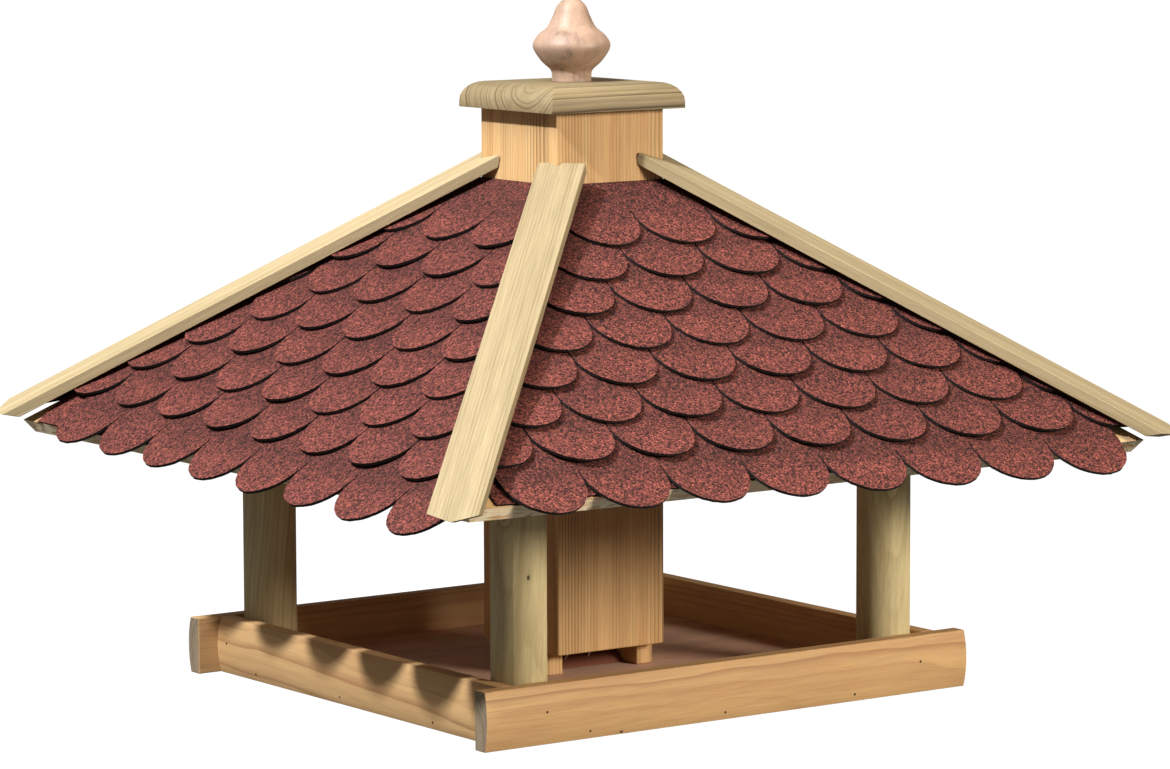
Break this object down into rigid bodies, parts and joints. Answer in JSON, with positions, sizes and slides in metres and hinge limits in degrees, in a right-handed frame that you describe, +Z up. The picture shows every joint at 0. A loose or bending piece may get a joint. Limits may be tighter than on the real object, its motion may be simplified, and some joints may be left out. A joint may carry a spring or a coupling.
{
  "type": "bird feeder",
  "caption": "Square wooden bird feeder: shallow railed tray, round posts, shingled pyramid roof with hip battens, a seed silo rising through the roof and a lift-off lid with a turned knob.",
  "frame": {"origin": "on the ground, under the middle of the tray", "axes": "+Z up along the silo; the front, with one of the two seed outlets, faces -Y; +X is to the right seen from the front"},
  "size_m": [0.835, 0.8294, 0.6381],
  "materials": {
    "rail_pine": "planed, clear-oiled softwood",
    "plywood": "unfinished plywood",
    "post_pine": "greenish pressure-treated turned pine",
    "silo_pine": "planed softwood, satin",
    "divider": "rough reddish-brown wood",
    "knob_wood": "turned hardwood, satin",
    "strand_board": "oriented strand board",
    "granule_felt": "coarse mineral granules on bitumen felt",
    "batten_pine": "planed pale softwood"
  },
  "bodies": {
    "house": {"tray_rail_front": "rail_pine", "tray_rail_right": "rail_pine", "tray_rail_back": "rail_pine", "tray_rail_left": "rail_pine", "floor_panel": "plywood", "post_front_left": "post_pine", "post_front_right": "post_pine", "post_back_right": "post_pine", "post_back_left": "post_pine", "silo_board_front": "silo_pine", "silo_board_right": "silo_pine", "silo_board_back": "silo_pine", "silo_board_left": "silo_pine", "seed_divider": "divider", "roof_panel_front": "strand_board", "roof_panel_right": "strand_board", "roof_panel_back": "strand_board", "roof_panel_left": "strand_board", "shingles_front_1": "granule_felt", "shingles_front_2": "granule_felt", "shingles_front_3": "granule_felt", "shingles_front_4": "granule_felt", "shingles_front_5": "granule_felt", "shingles_front_6": "granule_felt", "shingles_front_7": "granule_felt", "shingles_front_8": "granule_felt", "shingles_right_1": "granule_felt", "shingles_right_2": "granule_felt", "shingles_right_3": "granule_felt", "shingles_right_4": "granule_felt", "shingles_right_5": "granule_felt", "shingles_right_6": "granule_felt", "shingles_right_7": "granule_felt", "shingles_right_8": "granule_felt", "shingles_back_1": "granule_felt", "shingles_back_2": "granule_felt", "shingles_back_3": "granule_felt", "shingles_back_4": "granule_felt", "shingles_back_5": "granule_felt", "shingles_back_6": "granule_felt", "shingles_back_7": "granule_felt", "shingles_back_8": "granule_felt", "shingles_left_1": "granule_felt", "shingles_left_2": "granule_felt", "shingles_left_3": "granule_felt", "shingles_left_4": "granule_felt", "shingles_left_5": "granule_felt", "shingles_left_6": "granule_felt", "shingles_left_7": "granule_felt", "shingles_left_8": "granule_felt", "hip_batten_front_left": "batten_pine", "hip_batten_front_right": "batten_pine", "hip_batten_back_right": "batten_pine", "hip_batten_back_left": "batten_pine"},
    "lid": {"lid_board": "silo_pine", "lid_block": "silo_pine", "lid_knob": "knob_wood", "knob_dowel": "knob_wood"}
  },
  "joints": [
    {"name": "lid_lift", "type": "slide", "parent": "house", "child": "lid", "axis": [0, 0, 1], "range_m": [0, 0.12]}
  ]
}
